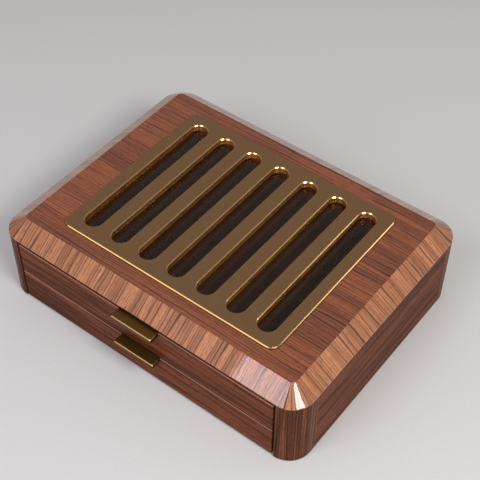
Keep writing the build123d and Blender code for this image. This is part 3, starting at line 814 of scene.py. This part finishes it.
def post_plan(outer, inner, radius, at_front):
    """Closed outline of the post at the back right, counter-clockwise from the start of its round corner.
    A front post has a small arc that touches both the round corner and the face beside the drawers, a
    back post a straight end with the back panel's groove. Both have the side panel's groove."""
    wall, mouth, hold = 12.0 * MM, 0.7 * MM, 0.4 * MM
    half_tongue, depth = 2.05 * MM, 4.05 * MM
    round_steps, mouth_steps = 20, 5
    middle = outer - wall / 2
    centre = outer - radius
    if at_front:
        touch = np.arccos((inner[0] + mouth - centre[0]) / (radius - mouth))
        small = centre + (radius - mouth) * np.array([cos(touch), sin(touch)])
        corner = [arc(centre, radius, 0, touch, round_steps), arc(small, mouth, touch, pi, mouth_steps)[1:]]
    else:
        groove = [(0, half_tongue), (depth, half_tongue), (depth, -half_tongue), (0, -half_tongue)]
        end = [(inner[0], outer[1]), *((inner[0], middle[1]) + np.array(groove))]
        corner = [arc(centre, radius, 0, pi / 2, round_steps), end]
    groove = [(-half_tongue, 0), (-half_tongue, depth), (half_tongue, depth), (half_tongue, 0)]
    foot = [(inner[0], inner[1]), *((middle[0], inner[1]) + np.array(groove)), (outer[0], inner[1])]
    return np.concatenate([*corner, foot, [(outer[0], centre[1] - hold), (outer[0], centre[1])]])


class PENCHEST_OT_case(bpy.types.Operator):
    """Corner posts, and finishes of the case's boards. A post is its ground plan, a quarter of the case's
    round corner closed by straight inner faces, carried straight up with the map running round it"""

    bl_idname = "pen_chest.case"
    bl_label = "Case and posts"

    def execute(self, context):
        radius = context.scene.pen_chest_lid.corner
        for place, sy in (("front", -1), ("back", 1)):
            for hand, sx in zip(HANDS, (-1, 1)):
                low, high = corners(f"{place}_{hand}_post")
                outer = np.maximum(np.abs(low), np.abs(high))[:2]
                inner = np.minimum(np.abs(low), np.abs(high))[:2]
                plan = post_plan(outer, inner, radius, place == "front") * (sx, sy)
                patches = upright(plan, (low[2], high[2]), axes=(2, 0))
                made = piece(f"walnut_{place}_{hand}_post", patches, [finish("walnut_post")], 30)
                settle(made, "case", "walnut_lacquer", f"{place}_{hand}_post")
        for hand in HANDS:
            dress(f"{hand}_side", finish("walnut_side_veneer"))
            dress(f"top_cleat_{hand}", finish("planed_beech"))
            for level in LEVELS:
                dress(f"{level}_runner_{hand}", finish("planed_beech"))
        dress("back_panel", finish("walnut_back_veneer"))
        dress("base_board", finish("sanded_birch"))
        dress("dust_board", finish("sanded_birch"))
        return {"FINISHED"}


# ---- drawers ----


class PENCHEST_OT_drawers(bpy.types.Operator):
    """Finishes of the drawers' boards, whose CAD shapes stay"""

    bl_idname = "pen_chest.drawers"
    bl_label = "Drawer boards"

    def execute(self, context):
        for level in LEVELS:
            dress(f"{level}_front", finish("walnut_front_veneer"))
            for hand in HANDS:
                dress(f"{level}_side_{hand}", finish("walnut_oiled"))
            dress(f"{level}_back", finish("walnut_oiled_back"))
            dress(f"{level}_bottom", finish("sanded_birch"))
            dress(f"{level}_tray_base", finish("sanded_birch"))
        return {"FINISHED"}


class PENCHEST_OT_pulls(bpy.types.Operator):
    """Pull tabs. Outlines of the bar are stacked from its underside to its top; the upper ones step in
    and back from the three free edges, which gives the bright bevel, while the edge inside the drawer
    front stays put"""

    bl_idname = "pen_chest.pulls"
    bl_label = "Pull tabs"

    def execute(self, context):
        p = context.scene.pen_chest_pull
        lead, foot, crisp, corner = 2 * MM, 0.2 * MM, 0.12 * MM, 0.5 * MM
        # The bevel's paler colour is a painted highlight, and the darker sawn faces are painted shade.
        streaked, highlit_bevel, sawn_painted_shade = range(3)
        for level in LEVELS:
            low, high = corners(f"{level}_pull_tab")
            bottom, top = low[2], high[2]
            slope = [(lead, bottom), (0, bottom), (0, top - p.bevel), (p.bevel, top), (p.bevel + lead, top)]
            rows = soften(slope, (0, foot, crisp, crisp, 0), 3)[1:-1]
            half_x, deep, middle = high[0], high[1] - low[1], (low[1] + high[1]) / 2
            outlines = []
            for inset, z in rows:
                line = round_rect(half_x - inset, (deep - inset) / 2, corner, 4) + (0, middle + inset / 2)
                outlines.append(raised(line, z))
            stack = np.stack(outlines)
            front = stack[..., [0, 2]]
            bevel_from = int(np.argmax(rows[:, 1] > top - p.bevel - 0.1 * MM))
            top_from = int(np.argmax(rows[:, 1] > top - 0.05 * MM))
            patches = [
                flat_face(stack[0], finish=sawn_painted_shade),
                patch(stack[: bevel_from + 1], front[: bevel_from + 1], sawn_painted_shade),
                patch(stack[bevel_from : top_from + 1], front[bevel_from : top_from + 1], highlit_bevel),
                patch(stack[top_from:], finish=streaked),
                flat_face(stack[-1], finish=streaked),
            ]
            finishes = [finish("hairline_bronze"), finish("bronze_bevel_painted_highlight"), finish("bronze_edge")]
            made = piece(f"{level}_bronze_pull", patches, finishes, 30)
            settle(made, f"{level}_drawer", "brushed_bronze", f"{level}_pull_tab")
        return {"FINISHED"}


# ---- screws and stops ----

THREAD_PITCH = 1.2 * MM
FACE_RINGS = np.array([0.0, 0.16, 0.3, 0.42, 0.54, 0.64, 0.74, 0.93])  # shares of a head's radius
PROUD = 0.03  # how far a screw's face stands out of its seat, in millimetres


def countersunk(head, shank, cone, length, place, way, turn):
    """A cross-headed countersunk screw from its head at a place along a direction. Each row is a circle:
    rings across the head whose depth is a cross of two soft bars, the sunk cone, a threaded shank whose
    radius falls and rises once every turn while the thread climbs, and the point. turn is the angle of
    the cross."""
    a = np.linspace(0, 2 * pi, 21)
    rings = FACE_RINGS[:, None] * head
    x, y = rings * np.cos(a + turn), rings * np.sin(a + turn)

    def bar(across, along):
        """One bar of the cross: 1 inside it, fading to 0 over its soft sides and ends."""
        wide = np.clip((0.17 * head - np.abs(across)) / (0.08 * head), 0, 1)
        long = np.clip((0.64 * head - np.abs(along)) / (0.1 * head), 0, 1)
        return wide * long

    def circles(*rows):
        """A circle for each radius and depth."""
        radii, heights = np.array(rows).T[:, :, None]
        return np.stack(np.broadcast_arrays(radii * np.cos(a), radii * np.sin(a), heights), -1)

    face = np.stack([x, y, 0.45 * head * np.maximum(bar(x, y), bar(y, x))], -1)
    levels = np.arange(cone, length - THREAD_PITCH, THREAD_PITCH / 4)[:, None]
    wind = levels / THREAD_PITCH + a / (2 * pi)
    thread = shank * (1 - 0.2 * np.abs(2 * (wind % 1) - 1))
    threaded = np.stack(np.broadcast_arrays(thread * np.cos(a), thread * np.sin(a), levels), -1)
    seat = circles((head, 0.04 * head), (head, 0.1 * head), (shank, 0.98 * cone))
    point = circles((0.5 * shank, length - THREAD_PITCH / 4), (0.0, length))
    rows = np.concatenate([face, seat, threaded, point])
    turned = np.array(Vector(way).to_track_quat("Z", "Y").to_matrix())
    return patch(rows @ turned.T + np.asarray(place), np.stack(np.broadcast_arrays(rows[..., 2], a), -1))


class PENCHEST_OT_screws(bpy.types.Operator):
    """Every screw of the chest, and the rubber stops behind the drawers. A stop is a profile turned round
    its own axis: a low foot, a rounded shoulder and an elliptic dome"""

    bl_idname = "pen_chest.screws"
    bl_label = "Screws and stops"

    def execute(self, context):
        up, down = (0, 0, 1), (0, 0, -1)
        plate = {"head": 1.9 * MM, "shank": 0.86 * MM, "cone": 1.2 * MM, "length": 11.0 * MM}
        wood = {"head": 2.8 * MM, "shank": 1.2 * MM, "cone": 1.8 * MM, "length": 15.9 * MM}
        runner = {**wood, "length": 21.9 * MM}
        # Faces of the screws in millimetres, as in the CAD.
        plate_z, top_z, base_z, runner_x = 68 - PROUD, 60 - PROUD, 1.0, 124.3 - PROUD
        sets = {"plate_screws": [], "top_screws": [], "base_screws": [], "runner_screws": []}
        for s in (-1, 1):
            sets["plate_screws"] += [(plate, (x, s * 83, plate_z), up) for x in (-71, 0, 71)]
            sets["plate_screws"] += [(plate, (s * 104, y, plate_z), up) for y in (-43, 43)]
            sets["top_screws"] += [(wood, (s * 134, y, top_z), up) for y in (-62, 0, 62)]
            sets["base_screws"] += [(wood, (s * 141, y, base_z), up) for y in (-71, 0, 71)]
            sets["base_screws"] += [(wood, (s * 65, 106, base_z), up)]
            places = [(s * runner_x, y, z) for y in (-67, 67) for z in (19.4, 51.1)]
            sets["runner_screws"] += [(runner, place, (s, 0, 0)) for place in places]
        first_turn, next_turn = 0.3, 0.7  # no two crosses in a row stand alike
        for node, screws in sets.items():
            patches = [
                countersunk(place=np.array(place) * MM, way=way, turn=first_turn + next_turn * i, **kind)
                for i, (kind, place, way) in enumerate(screws)
            ]
            made = piece(f"cross_head_{node}", patches, [finish("screw_steel")], 40)
            settle(made, "case", "steel_screw", node)

        p = context.scene.pen_chest_pull
        pull = {"head": p.screw_head, "shank": 1.0 * MM, "cone": 1.3 * MM, "length": 11.9 * MM}
        for level in LEVELS:
            high = corners(f"{level}_pull_tab")[1]
            places = [(s * p.screw_spread, high[1] - p.screw_back, high[2] + PROUD * MM) for s in (-1, 1)]
            turns = (0.5, 1.5)
            spots = zip(places, turns)
            patches = [countersunk(place=place, way=down, turn=turn, **pull) for place, turn in spots]
            made = piece(f"{level}_pull_cross_screws", patches, [finish("pull_screw_bronze")], 40)
            settle(made, f"{level}_drawer", "steel_screw", f"{level}_pull_screws")
        self.stops()
        return {"FINISHED"}

    def stops(self):
        """The four drawer stops, at the corners of their CAD node."""
        low, high = corners("drawer_bumpers")
        radius, length = 5.0 * MM, high[1] - low[1]
        rise = np.linspace(0, pi / 2, 9)
        dome = np.stack([0.9 * radius * np.cos(rise), length * (0.35 + 0.65 * np.sin(rise))], 1)
        foot = [(0, 0), (radius, 0), (radius, 0.2 * length), (0.95 * radius, 0.33 * length)]
        across, out = np.concatenate([foot, dome]).T[:, :, None]
        a = np.linspace(0, 2 * pi, 33)
        patches = []
        for x in (low[0] + radius, high[0] - radius):
            for z in (low[2] + radius, high[2] - radius):
                rows = (x + across * np.cos(a), high[1] - out, z + across * np.sin(a))
                points = np.stack(np.broadcast_arrays(*rows), -1)
                patches.append(patch(points, points[..., [0, 2]]))
        made = piece("rubber_drawer_stops", patches, [finish("bumper_rubber")], 30)
        settle(made, "case", "soft_bumper", "drawer_bumpers")


# ---- cloth ----

TUCK_DEPTH, TUCK_RUN = 0.8 * MM, 5 * MM


def tray_line(p, window, low, high):
    """Middle line of the velvet across the tray, left to right: flat floors under the pens and padded
    ridges between them, whose flanks lean and whose crests are rounded. Returns the line and its two
    levels."""
    wall = high[0] - p.cloth / 2
    floor = low[2] + p.cloth / 2
    top = low[2] + p.height + p.cloth / 2
    lean = (p.foot - p.crest) / 2
    trough = (window.pitch - p.foot) / 2 - p.cloth / 2 - 0.05 * MM
    centres = (np.arange(window.slots) - (window.slots - 1) / 2) * window.pitch
    line, radii = [(-wall, top)], [0]
    for x in centres:
        left, right = x - trough, x + trough
        line += [(left - lean, top), (left, floor), (right, floor), (right + lean, top)]
        radii += [p.crown, p.crown * 0.35, p.crown * 0.35, p.crown]
    return soften(line + [(wall, top)], radii + [0], 5, hold=0.4), floor, top


def tuck(y, ends):
    """How far a crest dips towards the ends of the grooves: nothing in the middle, TUCK_DEPTH at either
    end, along a quarter circle."""
    near = np.clip(1 - np.minimum(y - ends[0], ends[1] - y) / TUCK_RUN, 0, 1)
    return TUCK_DEPTH * (1 - np.sqrt(1 - near**2))


class PENCHEST_OT_trays(bpy.types.Operator):
    """Padded pen trays. The velvet is one line across the tray carried along the grooves, with a
    thickness, and its crests dip at the ends. Foam ridges fill it from below. The end pads are closed
    forms whose section is a rounded bar, whose sides pull in and whose top is crowned between the
    corners"""

    bl_idname = "pen_chest.trays"
    bl_label = "Pen trays"

    def execute(self, context):
        p, window = context.scene.pen_chest_tray, context.scene.pen_chest_window
        for level in LEVELS:
            low, high = corners(f"{level}_tray_lining")
            edge = np.array([0, 1, 2, 3.5, 5]) * MM
            inner = np.linspace(low[1] + 7 * MM, high[1] - 7 * MM, 13)
            ys = np.concatenate([low[1] + edge, inner, high[1] - edge[::-1]])
            self.velvet(p, window, level, ys)
            self.foam(p, window, level, ys)

            pads_low, pads_high = corners(f"{level}_tray_ends")
            spans = ((pads_low[1], low[1]), (high[1], pads_high[1]))
            patches = [self.end_pad(p, pads_high[0], span, (pads_low[2], pads_high[2])) for span in spans]
            pads = piece(f"{level}_tray_end_pads", patches, [finish("tray_velvet")], 60)
            settle(pads, f"{level}_drawer", "tray_cloth", f"{level}_tray_ends")
        return {"FINISHED"}

    def velvet(self, p, window, level, ys):
        """The cloth: the tray's line moved out and in by half its thickness and carried through ys. The
        crests are tucked at the ends, and sink by up to a quarter of a millimetre in waves about 66 mm
        long and 105 mm wide."""
        low, high = corners(f"{level}_tray_lining")
        line, floor, top = tray_line(p, window, low, high)
        slope = np.gradient(line, axis=0)
        normal = np.column_stack([-slope[:, 1], slope[:, 0]])
        normal /= np.linalg.norm(normal, axis=1, keepdims=True)
        ends, play = (low[1], high[1]), 0.1 * MM
        half, wave, per_y, per_x = (p.cloth - play) / 2, 0.12 * MM, 95, 60
        share = np.clip((line[:, 1] - floor) / (top - floor), 0, 1)
        dip = share * tuck(ys, ends)[:, None]
        drift = wave * share * np.sin(ys[:, None] * per_y + line[:, 0] * per_x) - wave * share

        def layer(offset):
            """One face of the cloth, at an offset from its middle."""
            moved = line + normal * offset
            x, y = np.broadcast_arrays(moved[:, 0], ys[:, None])
            return np.stack([x, y, moved[:, 1] - dip + drift], -1)

        above, below = layer(half), layer(-half)
        around = np.concatenate([above, below[:, ::-1], above[:, :1]], 1)
        patches = [patch(around, around[..., [1, 0]])]
        for i in (0, -1):
            end = np.stack([above[i], below[i]])
            patches.append(patch(end, end[..., [0, 2]]))
        cloth = piece(f"{level}_tray_velvet", patches, [finish("tray_velvet")], 60)
        settle(cloth, f"{level}_drawer", "tray_cloth", f"{level}_tray_lining")

    def foam(self, p, window, level, ys):
        """Foam ridges: a bar with leaning flanks and a rounded crest between every two grooves, and half
        a bar at either wall, carried through ys and tucked like the cloth."""
        low, high = corners(f"{level}_tray_lining")
        ends = (low[1], high[1])
        base = corners(f"{level}_tray_base")[1][2]
        under_cloth, sink, crown = 0.25 * MM, 0.2 * MM, 0.85 * p.crown
        crest = base + p.height - under_cloth
        wall = high[0] - p.cloth * 0.1
        lean = (p.foot - p.crest) / 2
        patches = []
        for i in range(window.slots + 1):
            middle = (i - window.slots / 2) * window.pitch
            left, right = middle - p.foot / 2, middle + p.foot / 2
            left_top, right_top = left + lean, right - lean
            if i == 0:
                left = left_top = -wall
            if i == window.slots:
                right = right_top = wall
            outline = [(left, base), (right, base), (right_top, crest), (left_top, crest)]
            section = soften(outline, [0, 0, crown, crown], 4, True)
            section = np.concatenate([section, section[:1]])
            share = (section[:, 1] - base) / p.height
            dip = share * tuck(ys, ends)[:, None] + sink * share
            x, y = np.broadcast_arrays(section[:, 0], ys[:, None])
            points = np.stack([x, y, section[:, 1] - dip], -1)
            patches += [patch(points), flat_face(points[0], (0, 2)), flat_face(points[-1], (0, 2))]
        ridges = piece(f"{level}_tray_foam", patches, [finish("flocked_foam")], 50)
        settle(ridges, f"{level}_drawer", "tray_foam", f"{level}_tray_ridges")

    def end_pad(self, p, half_x, y, z):
        """One padded bar along X, whose section is a rectangle with soft corners. t runs from -1 to 1
        along it. Near the ends the section shrinks on a quarter circle down to a line. The sides pull in
        by 1 - t squared, and the top sinks by t to the sixth and in waves about 103 mm long."""
        deep, tall = y[1] - y[0], z[1] - z[0]
        corner, foot = 2.6 * MM, 0.8 * MM
        half_y, half_z = deep / 2, tall / 2
        outline = [(-half_y, -half_z), (half_y, -half_z), (half_y, half_z), (-half_y, half_z)]
        section = soften(outline, [foot, foot, corner, corner], 6, True)
        section = np.concatenate([section, section[:1]])
        a = np.linspace(0, pi / 2, 7)
        shrink, along = corner * (1 - np.sin(a)), corner * (1 - np.cos(a))
        inner = np.linspace(-half_x, half_x, 25)[1:-1]
        inset = np.concatenate([shrink, np.zeros(len(inner)), shrink[::-1]])
        x = np.concatenate([along - half_x, inner, half_x - along[::-1]])
        t = x / half_x
        wide = (deep / 2 - inset * 0.55 - p.pull_in * (1 - t**2)) / (deep / 2)
        lift = 1 - inset * 0.55 / tall - 0.03 * np.abs(t) ** 6
        wave, per_x, per_y, under_box = 0.05 * MM, 61, 900, 0.25 * MM
        drift = wave * np.sin(x * per_x + y[0] * per_y)
        up = (section[:, 1] + tall / 2) / tall
        place_y = (y[0] + y[1]) / 2 + section[:, 0] * wide[:, None]
        place_z = z[0] + up * tall * lift[:, None] - up * (under_box + drift[:, None])
        points = np.stack(np.broadcast_arrays(x[:, None], place_y, place_z), -1)
        poles = points[[0, -1]].mean(1, keepdims=True) + np.zeros_like(points[[0, -1]])
        return patch(np.concatenate([poles[:1], points, poles[1:]]))


class PENCHEST_OT_felt(bpy.types.Operator):
    """Felt under the case: its plan, a rectangle with round corners cut back where the lower drawer front
    hangs, carried up through its thickness"""

    bl_idname = "pen_chest.felt"
    bl_label = "Base felt"

    def execute(self, context):
        low, high = corners("base_felt")
        inset, clearance, cut = 4 * MM, 0.5 * MM, 1 * MM
        radius = context.scene.pen_chest_lid.corner - inset
        mouth_x = corners("front_left_post")[1][0]
        mouth_y = corners("upper_front")[1][1] + clearance
        left, right, front, back = low[0], high[0], low[1], high[1]
        notch = [(mouth_x, front), (mouth_x, mouth_y), (-mouth_x, mouth_y), (-mouth_x, front)]
        plan = [(left, front), *notch, (right, front), (right, back), (left, back)]
        line = soften(plan, [radius, 0, cut, cut, 0, radius, radius, radius], 10, True)
        line = np.concatenate([line, line[:1]])
        patches = upright(line, (low[2], (low[2] + high[2]) / 2, high[2]))
        made = piece("black_base_felt", patches, [finish("base_felt_cloth")], 40)
        settle(made, "case", "base_felt", "base_felt")
        return {"FINISHED"}


# ---- stage ----

LAMP_AIM = (0, 0, 50 * MM)


def lamp(name, place, width, height, watts, colour):
    """A rectangular softbox at a place, turned to the chest."""
    light = bpy.data.lights.new(name, "AREA")
    light.shape = "RECTANGLE"
    light.size, light.size_y = width, height
    light.energy = watts
    light.color = linear(colour)
    made = bpy.data.objects.new(name, light)
    made.location = place
    made.rotation_euler = (Vector(LAMP_AIM) - Vector(place)).to_track_quat("-Z", "Y").to_euler()
    made.visible_camera = False
    bpy.context.scene.collection.objects.link(made)


def bearing(azimuth, elevation, distance):
    """A place seen from the chest at an azimuth from the front towards the right, and an elevation."""
    a, e = radians(azimuth), radians(elevation)
    return Vector((sin(a) * cos(e), -cos(a) * cos(e), sin(e))) * distance


class PENCHEST_OT_stage(bpy.types.Operator):
    """Plain pale floor, soft studio lamps, pale surroundings and the camera"""

    bl_idname = "pen_chest.stage"
    bl_label = "Stage"

    def execute(self, context):
        scene = context.scene
        p = scene.pen_chest_stage
        self.floor(p.floor)
        # Places are where the lid's bevels, the round corner and the bright rims mirror the lamps.
        low_front, low_right = bearing(-14, 30, 1.5), bearing(127, 18, 1.5)
        lamp("front_softbox", (-0.075, -0.835, 0.996), 0.49, 0.46, p.front_lamp, "#E6E9FF")
        lamp("right_softbox", (0.93, -0.33, 1.06), 0.5, 0.35, p.right_lamp, "#FFFFFF")
        lamp("low_front_strip", low_front, 1.6, 0.28, p.rim_lamp, "#FFFFFF")
        lamp("low_right_strip", low_right, 0.5, 0.16, 0.3 * p.rim_lamp, "#FFFFFF")

        scene.world = bpy.data.worlds.new("studio")
        scene.world.use_nodes = True
        tree = scene.world.node_tree
        tree.nodes.clear()
        plain = add(tree, "Background", {"Color": rgba(linear("#F1EFEC")), "Strength": p.world})
        add(tree, "OutputWorld", {"Surface": plain})
        scene.view_settings.view_transform = "Standard"
        # Light thrown by the metal and the glass would only show as grain.
        scene.cycles.caustics_reflective = False
        scene.cycles.caustics_refractive = False
        self.camera(scene)
        return {"FINISHED"}

    def floor(self, colour):
        """A flat square of matt paper, with a mottle of 2.5 mm so faint that it only breaks the
        flatness."""
        reach = 6.0
        x, y = np.meshgrid(*[np.linspace(-reach, reach, 13)] * 2)
        made, tree, shader = new_material("floor_paper")
        place = add(tree, "TexCoord", out="Object")
        mottle = add(tree, "TexNoise", {"Vector": place, "Scale": 1 / (2.5 * MM), "Detail": 3.0})
        share = add(tree, "MapRange", (mottle, 0.3, 0.7))
        shade = rgba([0.97 * value for value in colour])
        tone = add(tree, "Mix", {0: share, 6: shade, 7: rgba(colour)}, **COLOURS)
        feed(tree, shader, {"Base Color": tone, "Roughness": 0.9, "Specular IOR Level": 0.2})
        floor = piece("stage_floor", [patch(np.stack([x, y, np.zeros_like(x)], -1))], [made])

    def camera(self, scene):
        """The photograph's camera, found by matching 40 corners of the chest: it looks along a bearing
        with a small roll, and stands off by the distance, moved sideways and up by the aim."""
        azimuth, elevation, roll = 37.1657, 47.2756, radians(0.4862)
        distance, aim_x, aim_y = 0.944154, 0.0078222, 0.0385854
        focal_share, sensor = 1096.089 / 480, 36.0  # focal length over the frame's width, sensor in mm
        back = bearing(azimuth, elevation, 1.0)
        right = Vector((0, 0, 1)).cross(back).normalized()
        up = back.cross(right)
        rolled_right = right * cos(roll) + up * sin(roll)
        rolled_up = up * cos(roll) - right * sin(roll)
        camera = bpy.data.cameras.new("camera")
        camera.sensor_width = sensor
        camera.lens = focal_share * sensor
        camera.clip_start = 10 * MM
        holder = bpy.data.objects.new("camera", camera)
        matrix = Matrix((rolled_right, rolled_up, back)).transposed().to_4x4()
        matrix.translation = back * distance + right * aim_x + up * aim_y
        holder.matrix_world = matrix
        scene.collection.objects.link(holder)
        scene.camera = holder


# ---- add-on ----

OPERATORS = (
    PENCHEST_OT_lid,
    PENCHEST_OT_window,
    PENCHEST_OT_case,
    PENCHEST_OT_drawers,
    PENCHEST_OT_pulls,
    PENCHEST_OT_screws,
    PENCHEST_OT_trays,
    PENCHEST_OT_felt,
    PENCHEST_OT_stage,
)


class PENCHEST_PT_panel(bpy.types.Panel):
    """Lists the chest's pieces in the sidebar of the 3D view"""

    bl_idname = "PENCHEST_PT_panel"
    bl_label = "Pen Chest"
    bl_space_type = "VIEW_3D"
    bl_region_type = "UI"
    bl_category = "Pen Chest"

    def draw(self, context):
        for name, group in GROUPS.items():
            box = self.layout.box()
            box.label(text=group.__doc__)
            for key in group.__annotations__:
                box.prop(getattr(context.scene, name), key)
        for operator in OPERATORS:
            self.layout.operator(operator.bl_idname)


CLASSES = (*GROUPS.values(), *OPERATORS, PENCHEST_PT_panel)


def register():
    """Registers every class and hangs the property groups on the scene."""
    for kind in CLASSES:
        bpy.utils.register_class(kind)
    for name, group in GROUPS.items():
        setattr(bpy.types.Scene, name, PointerProperty(type=group))


def unregister():
    """Undoes register, in reverse."""
    for name in GROUPS:
        delattr(bpy.types.Scene, name)
    for kind in reversed(CLASSES):
        bpy.utils.unregister_class(kind)


def main():
    """Registers the add-on and builds every piece in order."""
    register()
    for operator in OPERATORS:
        group, call = operator.bl_idname.split(".")
        getattr(getattr(bpy.ops, group), call)()


if __name__ == "__main__":
    main()
